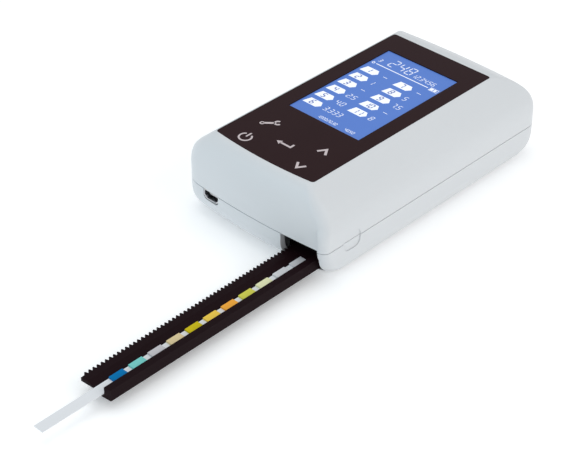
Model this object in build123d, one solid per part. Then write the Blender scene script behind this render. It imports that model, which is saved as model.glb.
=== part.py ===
"""Handheld urine analyzer with a motor-driven strip tray, shown with the tray run out.

Millimetres, +Z up, the object stands on z = 0.  X runs across the case (the tray is on
the +X side), +Y runs from the front face towards the back, and the tray and its test strip
come out towards -Y.  The origin is under the middle of the whole object as it stands,
tray and strip included.
"""
from build123d import *
from math import acos, cos, pi, radians, sin, sqrt, tan
import os

os.makedirs("parts", exist_ok=True)

# ---------------------------------------------------------------- driving dimensions
# Case
body_width = 64.6            # overall X of the case
body_length = 112.5          # overall Y of the case
foot_height = 1.0            # how far the rubber feet lift the case
top_z = 32.1                 # height of the flat top above the table
parting_z = 12.3             # height of the joint between the two shells
wall = 2.0                   # wall of both shells
shell_gap = 0.2              # visible line between the shells
front_bulge = 2.0            # how far the front face bows out, in plan
back_bulge = 1.5             # how far the back face bows out, in plan
front_corner = 7.0           # plan radius of the left front corner
cheek_corner = 3.0           # plan radius of the right front corner
back_corner = 7.0            # plan radius of the back corners
low_round = 8.0              # lower rounding of the front and the back
front_round_y = 5.6          # upper rounding of the front, depth
front_round_z = 14.0         # upper rounding of the front, height
back_round_y = 19.0          # upper rounding of the back, depth
back_round_z = 20.0          # upper rounding of the back, height
shoulder_in = 10.4           # from the side wall to the flat top, across
crease_in = 3.05             # from the side wall to the shoulder crease, across
crease_drop = 6.4            # from the flat top down to the shoulder crease
crease_round = 3.0           # rounding of the shoulder crease
shoulder_round = 1.0         # rounding where the shoulder meets the flat top
wall_top_z = 16.8            # height where the side wall starts to lean in
side_low_x = 3.0             # lower rounding of the side walls, across
side_low_z = 6.0             # lower rounding of the side walls, height
cheek_width = 3.0            # the upright nose at the tray side of the front
cheek_proud = 0.9            # how far the nose stands ahead of the front face
tongue_height = 1.2          # tongue that joins the shells
tongue_inset = 1.1           # from the outside of the case to the tongue
tongue_wall = 1.2

# Front panel
film_side = 10.85            # casing beside the film, each side
film_front = 5.75            # apex of the film's bowed front edge, from the front face
film_back_gap = 17.5         # from the film's straight back edge to the back face
film_bow = 1.35              # bow of the film's front edge
film_thick = 0.4
film_corner = 1.0
film_gap = 0.12
window_side = 5.95           # film beside the window, each side
window_back_gap = 10.0       # film behind the window
window_front = 34.6          # near edge of the display window, from the front face
glass_border = 1.0           # glass hidden under the film, each side
glass_thick = 1.6
glass_gap = 0.2
lcd_frame_thick = 2.6        # from the main board up to the glass
lcd_border = 2.2             # backlight frame beyond the window, each side

# Keys: places are from the middle of the case and from the front face
key_places = {
    "setup": (-12.0, 22.4),
    "power": (-12.0, 10.9),
    "enter": (0.5, 16.8),
    "up": (12.0, 22.2),
    "down": (12.0, 10.8),
}
key_diameter = 8.0
key_gap = 0.2                # clearance of a key in its hole, all round
key_flange = 0.5             # how far the flange stands out under the shell
key_flange_thick = 0.5
key_top_gap = 0.05           # from the key to the underside of the film
key_travel = 0.25
key_stem_diameter = 3.0
key_stop_gap = 0.05          # what is left over the switch when a key is down

# Main board
board_thick = 1.6
board_side = 9.8             # from the board to the outside of the case, each side
board_front = 6.5
board_back_gap = 14.5        # from the board to the back face
switch_side = 4.5
switch_height = 1.1
post_diameter = 4.2
post_edge = 2.3              # from a post's axis to the board's edge
post_front = 28.5
post_back_gap = 19.0
post_root = 0.5              # how far a post runs up into the shell
pcb_screw_diameter = 2.0
pcb_screw_head = 3.6
pcb_screw_head_height = 1.2
pcb_screw_hole = 2.3
boss_hole = 5.6              # hole in the main board for the case screw boss

# Tray and rack
tray_short = 10.5            # how much shorter the tray is than the case
tray_hold = 18.0             # length of tray that stays inside when it is run out
gear_module = 0.5
strip_width = 3.8
strip_length = 108.0
strip_thick = 0.3
strip_from_side = 9.75       # from the strip's middle to the outside of the case
strip_top_z = 5.09
strip_side_gap = 0.1
strip_under_gap = 0.05
strip_inside = 2.65          # how far the strip's far end stands inside the front face
pad_count = 11
pad_length = 5.2
pad_pitch = 7.5
pad_thick = 0.6
pad_end_gap = 0.2            # bare strip beyond the last pad
plate_bottom_z = 4.55
plate_top_z = 5.85
rail_width = 2.5
rail_top_z = 7.3
rack_from_side = 18.2        # from the tips of the rack's teeth to the outside of the case
rack_flat = 2.45             # flat band between the tooth roots and the slope
keel_bottom_z = 3.3
keel_from_tips = 5.9
strip_stop_gap = 0.3         # from the strip's far end to the end of its groove

# Mouth of the tray
mouth_side_gap = 0.3         # from the tips of the rack's teeth to the mouth's edge
mouth_floor_z = 3.0

# Tray guide
slide_gap = 0.3
guide_wall = 0.85
guide_lip = 1.0
guide_front = 5.8
guide_behind = 2.0           # from the closed tray to the back of its guide
left_wall_front = 22.5
post_end = 8.0
post_top_z = 6.4

# Drive
pinion_teeth = 16
wheel_teeth = 28
motor_teeth = 10
drive_y = 14.5               # gear axis, from the front face
backlash = 0.12              # taken off each tooth's width
pressure_angle = 20.0
gear_addendum = 0.4
gear_dedendum = 0.6
pinion_bottom_z = 4.2
pinion_height = 2.2
wheel_height = 1.5
wheel_lift = 0.4             # hub between the pinion and the wheel
axle_diameter = 2.0
axle_clearance = 0.06
axle_seat = 0.6              # how deep the axle stands in the case floor
axle_play = 0.04             # play across the diameter where the axle is held
axle_boss_diameter = 4.4
axle_boss_top_z = 3.9
motor_shaft_diameter = 1.5
motor_diameter = 14.4
motor_height = 10.0
motor_boss_diameter = 5.0
motor_ear_reach = 10.0       # from the shaft to the end of each fixing ear
motor_ear_width = 5.0
motor_ear_thick = 0.8
motor_screw_reach = 8.75
motor_plate_thick = 1.2
plate_lift = 1.2             # from the wheel to the drive plate
leg_diameter = 3.4
leg_front_y = 7.2
leg_back_y = 24.5
leg_from_motor = 6.3         # across, from the motor's axis to the front leg
leg_behind_motor = 5.7       # across, from the motor's axis to the left back leg
leg_from_axle = 0.4
plate_beyond_leg = 1.8
plate_beyond_axle = 2.6
plate_back = 26.5
arm_from_side = 3.9
arm_back = 18.2
plate_front = 4.4

# Optical head
head_axis = 9.0              # the measuring spot, from the front face
head_width = 7.2
head_front = 5.3
head_back = 16.3
head_bottom_z = 7.6
head_height = 9.4
head_bore = 3.0
head_flange = 0.8
head_flange_thick = 1.2
head_gap = 0.15
lens_thick = 1.2
optic_board_thick = 1.0
lens_diameter = 4.4
lens_drop = 2.4              # from the top of the block down to the lens seat
sensor_chip_side = 2.0
sensor_chip_height = 0.8
led_diameter = 2.9
led_length = 4.0
led_reach = 7.0              # from the measuring spot to the near end of the lamp
led_tilt = 25.0

# USB socket, mini-B
usb_from_side = 14.15        # from the socket's middle to the left side of the case
usb_bottom_z = 8.8
usb_width = 6.9
usb_height = 3.6
usb_depth = 9.2
usb_skin = 0.35
usb_gap = 0.2
usb_bevel = 1.1
usb_setback = 0.35           # from the face of the case to the socket's lip
usb_back_wall = 1.0
usb_tongue_width = 3.9
usb_tongue_thick = 0.8
usb_tongue_setback = 1.2
power_post_in = 2.5          # from a support's axis to the power board's edge
power_post_front = 10.5
power_post_back = 29.0
power_board_side = 5.3       # from the board to the left side of the case
power_board_gap = 1.0        # from the board to the drive plate, across
power_board_front = 5.6
power_board_back = 32.0

# Battery, buzzer, sensors
battery_from_rack = 7.1
battery_front = 38.5
battery_back_gap = 16.0
battery_height = 8.0
battery_round = 2.0
buzzer_diameter = 12.0
buzzer_height = 5.0
buzzer_from_post = 6.2       # across, from the left back post's axis to the buzzer's
buzzer_back_gap = 24.5
chips = [(3.0, 60.0, 14.0), (4.0, 38.0, 9.0), (-10.0, 47.0, 7.0)]  # place and side
chip_height = 1.4
sensor_width = 8.0
sensor_depth = 2.4
sensor_height = 5.0
sensor_bottom_z = 4.6
sensor_nose = 1.6
sensor_nose_gap = 0.6        # from the nose to the closed tray

# Fasteners and feet
case_screw_diameter = 2.2
case_screw_head = 4.0
case_screw_head_height = 1.6
case_screw_sunk = 0.2        # how deep a head lies under the case
case_screw_reach = 6.0       # how far a screw runs up past the joint of the shells
boss_diameter = 5.0
screw_from_side = 6.3
screw_from_rack = 5.6
screw_front_left = 35.2
screw_front_right = 29.4
screw_back_gap = 10.5
side_boss_top_z = 25.8       # under the sloping shoulder
front_boss_top_z = 30.6      # under the flat top
back_boss_top_z = 27.8       # under the back rounding
small_screw_diameter = 1.6
small_screw_head = 3.0
small_screw_head_height = 1.0
small_screw_length = 4.0
screw_pilot = 0.1            # a screw hole's play across the diameter
foot_diameter = 8.0
foot_recess = 0.4
notch_y = 13.8               # pry notch on the right side, middle, from the front face
notch_length = 7.8
notch_height = 6.5
notch_round = 2.4
notch_depth = 0.3
foot_from_side = 8.8
foot_from_rack = 9.1
foot_front_left = 13.0
foot_front_right = 9.6
foot_back_gap = 17.5

# ---------------------------------------------------------------- derived places
half_width = body_width / 2
shell_bottom_z = foot_height
floor_z = shell_bottom_z + wall
mouth_right = half_width - cheek_width
film_width = body_width - 2 * film_side
film_back = body_length - film_back_gap
window_width = film_width - 2 * window_side
window_length = film_back - window_front - window_back_gap
board_width = body_width - 2 * board_side
board_back = body_length - board_back_gap
post_x = board_width / 2 - post_edge
post_back = body_length - post_back_gap
tray_length = body_length - tray_short
tray_travel = tray_length - tray_hold
guide_back = tray_length + guide_behind
strip_center_x = half_width - strip_from_side
rack_tip_x = half_width - rack_from_side
keel_left = rack_tip_x + keel_from_tips
mouth_left = rack_tip_x - mouth_side_gap
usb_x = usb_from_side - half_width
battery_length = body_length - battery_front - battery_back_gap
buzzer_x = buzzer_from_post - post_x
buzzer_y = body_length - buzzer_back_gap
strip_reach = strip_length - strip_inside
y_front = (strip_reach - body_length) / 2
y_back = y_front + body_length
inner_top_z = top_z - wall
film_under_z = top_z - film_thick
glass_bottom_z = film_under_z - glass_thick
board_top_z = inner_top_z - lcd_frame_thick
board_bottom_z = board_top_z - board_thick
pitch = pi * gear_module
pinion_radius = pinion_teeth * gear_module / 2
wheel_radius = wheel_teeth * gear_module / 2
motor_pinion_radius = motor_teeth * gear_module / 2
pitch_line_x = rack_tip_x + gear_module
axle_x = pitch_line_x - pinion_radius
axle_y = y_front + drive_y
motor_x = axle_x - wheel_radius - motor_pinion_radius
wheel_bottom_z = pinion_bottom_z + pinion_height + wheel_lift
drive_plate_z = wheel_bottom_z + wheel_height + plate_lift
drive_plate_top_z = drive_plate_z + motor_plate_thick
drive_legs = [
    (motor_x - leg_from_motor, leg_front_y),
    (motor_x - leg_behind_motor, leg_back_y),
    (axle_x + leg_from_axle, leg_back_y),
]
plate_left = motor_x - leg_from_motor - plate_beyond_leg
plate_right = axle_x + plate_beyond_axle
arm_right = half_width - arm_from_side
power_board_left = power_board_side - half_width
power_board_right = plate_left - power_board_gap
power_posts = [
    (power_board_left + power_post_in, power_post_front),
    (power_board_right - power_post_in, power_post_front),
    ((power_board_left + power_board_right) / 2, power_post_back),
]
battery_left = power_board_left
battery_width = rack_tip_x - battery_from_rack - battery_left
screw_left_x = screw_from_side - half_width
screw_right_x = rack_tip_x - screw_from_rack
screw_back_y = body_length - screw_back_gap
case_screws = {              # place of each screw: height of the top of its boss
    (screw_left_x, screw_front_left): side_boss_top_z,
    (screw_left_x, screw_back_y): side_boss_top_z,
    (screw_right_x, screw_front_right): front_boss_top_z,
    (screw_right_x, screw_back_y): back_boss_top_z,
}
foot_left_x = foot_from_side - half_width
foot_right_x = rack_tip_x - foot_from_rack
feet = {
    "front_left": (foot_left_x, foot_front_left),
    "front_right": (foot_right_x, foot_front_right),
    "back_left": (foot_left_x, body_length - foot_back_gap),
    "back_right": (foot_right_x, body_length - foot_back_gap),
}
strip_left = strip_center_x - strip_width / 2
strip_right = strip_center_x + strip_width / 2
groove_left = strip_left - strip_side_gap
groove_right = strip_right + strip_side_gap
groove_floor_z = strip_top_z - strip_thick - strip_under_gap
rail_right = groove_right + rail_width
strip_far_y = y_front + strip_inside
strip_near_y = strip_far_y - strip_length
front_radius = (half_width ** 2 + front_bulge ** 2) / (2 * front_bulge)
back_radius = (half_width ** 2 + back_bulge ** 2) / (2 * back_bulge)


def front_y(x):
    """Y of the bowed front face at its foot, at x across the case."""
    return y_front + front_radius - sqrt(front_radius ** 2 - x ** 2)


def save(part, name):
    """Write one sub-part under its own name."""
    part.label = name
    export_step(part, f"parts/{name}.step")


def block(x0, x1, y0, y1, z0, z1):
    """A box between two corners."""
    return Pos((x0 + x1) / 2, (y0 + y1) / 2, (z0 + z1) / 2) * Box(x1 - x0, y1 - y0, z1 - z0)


def rod(x, y, z0, z1, diameter):
    """An upright cylinder."""
    return Pos(x, y, (z0 + z1) / 2) * Cylinder(diameter / 2, z1 - z0)


# ---------------------------------------------------------------- the case form
def case_section(inset):
    """Cross-section of the case, seen from the front: flat top, sloping shoulders."""
    side = half_width - inset
    top = top_z - inset
    low = shell_bottom_z + inset
    shoulder = half_width - shoulder_in - 0.35 * inset
    crease = (half_width - crease_in - 0.85 * inset, top_z - crease_drop - 0.6 * inset)
    low_x = side_low_x - inset / 2
    low_z = side_low_z - inset
    right = [
        Line((0, low), (side - low_x, low)),
        EllipticalCenterArc((side - low_x, low + low_z), low_x, low_z, 270, arc_size=90),
        Line((side, low + low_z), (side, wall_top_z)),
        TangentArc((side, wall_top_z), crease, tangent=(0, 1)),
        Line(crease, (shoulder, top)),
        Line((shoulder, top), (0, top)),
        Line((0, top), (0, low)),
    ]
    half = make_face(Curve() + right)
    for corner, radius in (crease, crease_round), ((shoulder, top), shoulder_round):
        half = fillet(half.vertices().sort_by_distance(corner)[0], radius)
    return half + mirror(half, Plane.YZ)


def rim_disc(radius, center_y, inset, round_in, round_up):
    """A wide disc about an upright axis whose rim is the rounded front or back face."""
    outer = radius - inset
    top = top_z - inset
    low = shell_bottom_z + inset
    deep = round_in - inset
    high = round_up - inset
    under = low_round - inset
    rim = [
        Line((0, low), (outer - under, low)),
        CenterArc((outer - under, low + under), under, 270, 90),
        Line((outer, low + under), (outer, top - high)),
        EllipticalCenterArc((outer - deep, top - high), deep, high, 0, arc_size=90),
        Line((outer - deep, top), (0, top)),
        Line((0, top), (0, low)),
    ]
    face = Plane.XZ * make_face(Curve() + rim)
    return Pos(0, center_y, 0) * revolve(face, Axis.Z)


def plan_outline(inset):
    """The case seen from above, with its four rounded corners."""
    side = half_width - inset
    front = Pos(0, y_front + front_radius) * Circle(front_radius - inset)
    back = Pos(0, y_back - back_radius) * Circle(back_radius - inset)
    outline = Pos(0, (y_front + y_back) / 2) * Rectangle(2 * side, 2 * body_length) & front & back
    middle = (y_front + y_back) / 2
    for radius, picked in (
        (front_corner, lambda v: v.X < 0 and v.Y < middle),
        (cheek_corner, lambda v: v.X > side - 0.01 and v.Y < middle),
        (back_corner, lambda v: v.Y > middle and v.X < 0.01 - side),
        (back_corner, lambda v: v.Y > middle and v.X > side - 0.01),
    ):
        outline = fillet([v for v in outline.vertices() if picked(v)], radius - inset)
    return outline


def case_form(inset=0.0):
    """The solid shape of the closed case, moved in by inset on every side."""
    long_body = extrude(Plane.XZ * case_section(inset), body_length, both=True)
    front = rim_disc(front_radius, y_front + front_radius, inset, front_round_y, front_round_z)
    back = rim_disc(back_radius, y_back - back_radius, inset, back_round_y, back_round_z)
    return front & back & extrude(plan_outline(inset), top_z + 1) & long_body


def in_y(offset):
    """Y of a place given from the front face."""
    return y_front + offset


def slab(z0, z1):
    """Everything between two heights."""
    return block(-body_width, body_width, y_front - body_width, y_back + body_width, z0, z1)


def rods(places, diameter, z0, z1):
    """One upright cylinder at each place."""
    return Part() + [rod(x, in_y(y), z0, z1, diameter) for x, y in places]


def film_outline(grow):
    """The bowed rectangle of the front film, larger by grow on every side."""
    side = film_width / 2
    front = in_y(film_front + film_bow)
    corners = [(-side, front), (-side, in_y(film_back)), (side, in_y(film_back)), (side, front)]
    edges = Curve() + [Polyline(*corners), SagittaArc((-side, front), (side, front), -film_bow)]
    outline = fillet(make_face(edges).vertices(), film_corner)
    return offset(outline, grow) if grow else outline


def window_block(grow, z0, z1):
    """A block over the display window, larger by grow on every side."""
    side = window_width / 2 + grow
    near = in_y(window_front) - grow
    return block(-side, side, near, near + window_length + 2 * grow, z0, z1)


def usb_outline(grow):
    """The socket's outline in the XZ plane: a rectangle with its lower corners cut off."""
    side = usb_width / 2 + grow
    low = usb_bottom_z - grow
    high = usb_bottom_z + usb_height + grow
    bevel = usb_bevel
    points = [
        (usb_x - side, high),
        (usb_x + side, high),
        (usb_x + side, low + bevel),
        (usb_x + side - bevel, low),
        (usb_x - side + bevel, low),
        (usb_x - side, low + bevel),
    ]
    return make_face(Polyline(*points, close=True))


def usb_prism(grow, y0, y1):
    """The socket's outline drawn out along Y."""
    return extrude(Plane.XZ.offset(-y0) * usb_outline(grow), -(y1 - y0))


# ---------------------------------------------------------------- shells
outer_form = case_form()
inner_form = case_form(wall)
cheek = Pos(0, -cheek_proud, 0) * outer_form
cheek &= block(mouth_right, body_width, y_front - cheek_width, in_y(low_round + cheek_width), 0, top_z)
whole_form = outer_form + cheek

screw_seat_z = shell_bottom_z + case_screw_sunk + case_screw_head_height
screw_top_z = parting_z + case_screw_reach
posts = [(x, y) for x in (-post_x, post_x) for y in (post_front, post_back)]
power_board_z = usb_bottom_z - board_thick
usb_front_y = front_y(usb_x) + usb_setback
usb_cut = usb_prism(usb_gap, y_front - 5, in_y(power_board_front))
guide_left = rack_tip_x - slide_gap - guide_wall
guide_right = rail_right + slide_gap + guide_wall
guide_floor_z = floor_z - foot_recess


def ring(outer_inset, inner_inset, z0, z1):
    """A thin ring that follows the upright part of the case wall."""
    return extrude(Pos(0, 0, z0) * (plan_outline(outer_inset) - plan_outline(inner_inset)), z1 - z0)


def pry_notch():
    """A shallow round-ended notch across the parting line on the right side."""
    place = Plane.YZ.offset(half_width - notch_depth)
    middle = Pos(in_y(notch_y), parting_z - 0.3)
    return extrude(place * middle * RectangleRounded(notch_length, notch_height, notch_round), 2)


def make_top_shell():
    shell = whole_form & slab(parting_z + shell_gap / 2, top_z + 1)
    shell -= inner_form
    for (x, y), boss_top_z in case_screws.items():
        shell += rod(x, in_y(y), parting_z + shell_gap / 2, boss_top_z, boss_diameter)
    shell += rods(posts, post_diameter, board_top_z, inner_top_z + post_root)
    shell -= rods(case_screws, case_screw_diameter + screw_pilot, parting_z, screw_top_z + 0.5)
    shell -= rods(posts, pcb_screw_diameter + screw_pilot, board_top_z - 1, inner_top_z - 0.2)
    shell -= extrude(Pos(0, 0, film_under_z) * film_outline(film_gap), film_thick + 1)
    shell -= window_block(glass_border + glass_gap, inner_top_z - 1, top_z)
    shell -= rods(key_places.values(), key_diameter + 2 * key_gap, inner_top_z - 1, top_z)
    shell -= ring(tongue_inset - 0.1, wall + 0.1, parting_z, parting_z + tongue_height + 0.1)
    return shell - usb_cut - pry_notch()


def make_bottom_shell():
    shell = whole_form & slab(0, parting_z - shell_gap / 2)
    shell -= inner_form
    shell += ring(tongue_inset, tongue_inset + tongue_wall, parting_z - 1, parting_z + tongue_height)
    mouth_back = in_y(low_round) + wall + 1
    shell -= block(mouth_left, mouth_right, y_front - 5, mouth_back, mouth_floor_z, top_z)
    shell += rods(case_screws, boss_diameter, floor_z, parting_z - shell_gap / 2)
    shell += rods(power_posts, leg_diameter, floor_z, power_board_z)
    shell += rods(drive_legs, leg_diameter, floor_z, drive_plate_z)
    shell += rod(axle_x, axle_y, floor_z, axle_boss_top_z, axle_boss_diameter)
    shell -= rod(axle_x, axle_y, floor_z - axle_seat, top_z, axle_diameter + axle_play)
    shell -= rods(case_screws, case_screw_diameter + 2 * screw_pilot, 0, top_z)
    shell -= rods(case_screws, case_screw_head + 4 * screw_pilot, 0, screw_seat_z)
    for places, seat_z in (power_posts, power_board_z), (drive_legs, drive_plate_z):
        shell -= rods(places, small_screw_diameter + screw_pilot, seat_z - small_screw_length, top_z)
    shell -= block(guide_left - 0.1, guide_right + 0.1, in_y(guide_front) - 0.1,
                   in_y(guide_back) + 0.1, guide_floor_z, post_top_z)
    shell -= rods(feet.values(), foot_diameter + 0.2, 0, shell_bottom_z + foot_recess)
    return shell - usb_cut - pry_notch()


save(make_top_shell(), "top_shell")
save(make_bottom_shell(), "bottom_shell")
for place, (x, y) in feet.items():
    foot = rod(x, in_y(y), 0, shell_bottom_z + foot_recess, foot_diameter)
    save(chamfer(foot.edges().group_by(Axis.Z)[0], 0.3), f"foot_{place}")


# ---------------------------------------------------------------- film, display and keys
film = extrude(Pos(0, 0, film_under_z) * film_outline(0), film_thick)
save(film - window_block(0, film_under_z - 1, top_z + 1), "front_film")
save(window_block(glass_border, glass_bottom_z, film_under_z), "display_glass")
save(window_block(lcd_border, board_top_z, glass_bottom_z), "display_backlight")

switch_top_z = board_top_z + switch_height
key_bottom_z = switch_top_z + key_travel + key_stop_gap
key_flange_top_z = inner_top_z - key_travel / 2


def make_key(x, y):
    """A round key under the film, with a flange that keeps it in and a stem to its switch."""
    face = rod(x, y, key_flange_top_z, film_under_z - key_top_gap, key_diameter)
    flange_z = key_flange_top_z - key_flange_thick
    flange = rod(x, y, flange_z, key_flange_top_z, key_diameter + 2 * key_flange)
    stem = rod(x, y, key_bottom_z, flange_z, key_stem_diameter)
    return face + flange + stem


for key, (x, y) in key_places.items():
    save(make_key(x, in_y(y)), f"key_{key}")


# ---------------------------------------------------------------- main board
board = block(-board_width / 2, board_width / 2, in_y(board_front), in_y(board_back),
              board_bottom_z, board_top_z)
board -= rods(posts, pcb_screw_hole, 0, top_z)
board -= rods(list(case_screws)[2:3], boss_hole, 0, top_z)
save(board, "main_board")

switches = [
    block(x - switch_side / 2, x + switch_side / 2, in_y(y) - switch_side / 2,
          in_y(y) + switch_side / 2, board_top_z, switch_top_z)
    for x, y in key_places.values()
]
save(Part() + switches, "key_switches")

chip_blocks = [
    block(x - side / 2, x + side / 2, in_y(y) - side / 2, in_y(y) + side / 2,
          board_bottom_z - chip_height, board_bottom_z)
    for x, y, side in chips
]
save(Part() + chip_blocks, "board_chips")
save(rod(buzzer_x, in_y(buzzer_y), board_bottom_z - buzzer_height, board_bottom_z, buzzer_diameter)
     - rod(buzzer_x, in_y(buzzer_y), 0, board_bottom_z - buzzer_height + 0.8, 2.0), "buzzer")


# ---------------------------------------------------------------- screws
def screws(places, seat_z, down, shank, length, head, head_height):
    """A screw at each place: the head lies on the seat, the shank runs down or up from it."""
    turned = 1 if down else -1
    made = []
    for x, y in places:
        screw = rod(x, in_y(y), min(seat_z, seat_z - turned * length),
                    max(seat_z, seat_z - turned * length), shank)
        cap = rod(x, in_y(y), min(seat_z, seat_z + turned * head_height),
                  max(seat_z, seat_z + turned * head_height), head)
        outer = cap.edges().group_by(Axis.Z)[-1 if down else 0]
        cap = fillet(outer, head_height * 0.4)
        slot_z = seat_z + turned * head_height
        cap -= block(x - head * 0.3, x + head * 0.3, in_y(y) - head * 0.06, in_y(y) + head * 0.06,
                     slot_z - head_height * 0.45, slot_z + head_height * 0.45)
        cap -= block(x - head * 0.06, x + head * 0.06, in_y(y) - head * 0.3, in_y(y) + head * 0.3,
                     slot_z - head_height * 0.45, slot_z + head_height * 0.45)
        made.append(screw + cap)
    return Part() + made


small = (small_screw_diameter, small_screw_length - 0.4, small_screw_head, small_screw_head_height)
save(screws(case_screws, screw_seat_z, False, case_screw_diameter, screw_top_z - screw_seat_z,
            case_screw_head, case_screw_head_height), "case_screws")
save(screws(posts, board_bottom_z, False, pcb_screw_diameter, board_thick + 2.1,
            pcb_screw_head, pcb_screw_head_height), "board_screws")
save(screws(power_posts, usb_bottom_z, True, *small), "power_board_screws")
save(screws(drive_legs, drive_plate_top_z, True, *small), "drive_screws")


# ---------------------------------------------------------------- socket, power board, battery
def make_usb_socket():
    """A folded metal shell with a back wall and the contact tongue inside."""
    back = usb_front_y + usb_depth
    socket = usb_prism(0, usb_front_y, back)
    socket -= usb_prism(-usb_skin, usb_front_y - 1, back - usb_back_wall)
    middle_z = usb_bottom_z + usb_height / 2
    tongue = block(usb_x - usb_tongue_width / 2, usb_x + usb_tongue_width / 2,
                   usb_front_y + usb_tongue_setback, back - usb_back_wall / 2,
                   middle_z - usb_tongue_thick / 2, middle_z + usb_tongue_thick / 2)
    return socket + tongue


save(make_usb_socket(), "usb_socket")
power_board = block(power_board_left, power_board_right, in_y(power_board_front),
                    in_y(power_board_back), power_board_z, usb_bottom_z)
save(power_board - rods(power_posts, small_screw_diameter + 2 * screw_pilot, 0, top_z), "power_board")

battery = block(battery_left, battery_left + battery_width, in_y(battery_front),
                in_y(battery_front + battery_length), floor_z, floor_z + battery_height)
save(fillet(battery.edges().filter_by(Axis.Y), battery_round), "battery_pack")


# ---------------------------------------------------------------- gears
def involute(angle):
    """The involute function, radians."""
    return tan(angle) - angle


def gear_outline(teeth, turn):
    """An involute gear with its first tooth at the angle turn."""
    radius = teeth * gear_module / 2
    base = radius * cos(radians(pressure_angle))
    tip = radius + gear_addendum
    half = (pitch / 2 - backlash) / (2 * radius) + involute(radians(pressure_angle))
    radii = [radius - gear_dedendum] + [base + (tip - base) * step / 4 for step in range(5)]
    radii = sorted(r for r in radii if r >= radius - gear_dedendum)
    widths = [half - involute(acos(min(1.0, base / r))) for r in radii]
    points = []
    for tooth in range(teeth):
        middle = 2 * pi * tooth / teeth + turn
        flank = [(r, middle - w) for r, w in zip(radii, widths)]
        flank += [(r, middle + w) for r, w in zip(reversed(radii), reversed(widths))]
        points += [(r * cos(a), r * sin(a)) for r, a in flank]
    return make_face(Polyline(*points, close=True))


def gear(x, y, z0, height, teeth, turn):
    """A spur gear standing on z0."""
    return extrude(Pos(x, y, z0) * gear_outline(teeth, turn), height)


def make_compound_gear():
    """The pinion that meets the rack, with the larger wheel above it."""
    pinion = gear(axle_x, axle_y, pinion_bottom_z, pinion_height, pinion_teeth, pi / pinion_teeth)
    wheel = gear(axle_x, axle_y, wheel_bottom_z, wheel_height, wheel_teeth, 0)
    hub = rod(axle_x, axle_y, pinion_bottom_z, wheel_bottom_z + wheel_height + wheel_lift,
              2 * (pinion_radius - gear_dedendum))
    bore = rod(axle_x, axle_y, 0, top_z, axle_diameter + 2 * axle_clearance)
    return pinion + hub + wheel - bore


save(make_compound_gear(), "compound_gear")
axle = rod(axle_x, axle_y, floor_z - axle_seat, drive_plate_top_z - 0.2, axle_diameter)
save(axle, "gear_axle")

shaft_bottom_z = wheel_bottom_z - 0.2
shaft_top_z = drive_plate_top_z + motor_height - 2
save(rod(motor_x, axle_y, shaft_bottom_z, shaft_top_z, motor_shaft_diameter), "motor_shaft")
motor_pinion = gear(motor_x, axle_y, wheel_bottom_z - 0.1, wheel_height + 0.2, motor_teeth,
                    pi / motor_teeth)
save(motor_pinion - rod(motor_x, axle_y, 0, top_z, motor_shaft_diameter), "motor_pinion")


# ---------------------------------------------------------------- motor and drive plate
motor_screws = [(motor_x, drive_y - motor_screw_reach), (motor_x, drive_y + motor_screw_reach)]


def make_motor():
    """The motor's can with two fixing ears and a locating boss."""
    can = rod(motor_x, axle_y, drive_plate_top_z, drive_plate_top_z + motor_height, motor_diameter)
    can = fillet(can.edges().group_by(Axis.Z)[-1], 0.8)
    can += block(motor_x - motor_ear_width / 2, motor_x + motor_ear_width / 2,
                 axle_y - motor_ear_reach, axle_y + motor_ear_reach,
                 drive_plate_top_z, drive_plate_top_z + motor_ear_thick)
    can += rod(motor_x, axle_y, drive_plate_top_z - 0.8, drive_plate_top_z, motor_boss_diameter)
    can -= rod(motor_x, axle_y, 0, shaft_top_z + 0.2, motor_shaft_diameter + 2 * axle_clearance)
    return can - rods(motor_screws, small_screw_diameter + 2 * screw_pilot, 0, top_z)


save(make_motor(), "motor_body")
save(screws(motor_screws, drive_plate_top_z + motor_ear_thick, True, small_screw_diameter,
            motor_ear_thick + motor_plate_thick, small_screw_head, small_screw_head_height), "motor_screws")

head_left = strip_center_x - head_width / 2
head_right = strip_center_x + head_width / 2


def make_drive_plate():
    """The plate over the gears: it carries the motor and, on its arm, the optical head."""
    plate = block(plate_left, plate_right, in_y(plate_front), in_y(plate_back),
                  drive_plate_z, drive_plate_top_z)
    plate += block(plate_left, arm_right, in_y(plate_front), in_y(arm_back),
                   drive_plate_z, drive_plate_top_z)
    plate = fillet(plate.edges().filter_by(Axis.Z), 1.0)
    plate -= block(head_left - head_gap, head_right + head_gap, in_y(head_front) - head_gap,
                   in_y(head_back) + head_gap, 0, top_z)
    plate -= rod(motor_x, axle_y, 0, top_z, motor_boss_diameter + 2 * axle_clearance)
    plate -= rod(axle_x, axle_y, 0, top_z, axle_diameter + axle_play)
    plate -= rods(motor_screws, small_screw_diameter, 0, top_z)
    return plate - rods(drive_legs, small_screw_diameter + 2 * screw_pilot, 0, top_z)


save(make_drive_plate(), "drive_plate")


# ---------------------------------------------------------------- optical head
head_y = in_y(head_axis)
head_top_z = head_bottom_z + head_height
lens_seat_z = head_top_z - lens_drop
pad_top_z = strip_top_z + pad_thick
lamp_axis = Pos(strip_center_x, head_y, pad_top_z) * Rot(-led_tilt, 0, 0)


def make_optical_block():
    """A dark block with an upright bore for the light sensor and a tilted one for the lamp."""
    body = block(head_left, head_right, in_y(head_front), in_y(head_back), head_bottom_z, head_top_z)
    body += block(head_left - head_flange, head_right + head_flange,
                  in_y(head_front) - head_flange, in_y(head_back) + head_flange,
                  drive_plate_top_z, drive_plate_top_z + head_flange_thick)
    body -= rod(strip_center_x, head_y, 0, head_top_z + 1, head_bore)
    body -= rod(strip_center_x, head_y, lens_seat_z, head_top_z + 1, lens_diameter + screw_pilot)
    lamp_bore = Cylinder((led_diameter + screw_pilot) / 2, 3 * head_height)
    return body - lamp_axis * Pos(0, 0, 1.5 * head_height) * lamp_bore


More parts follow.
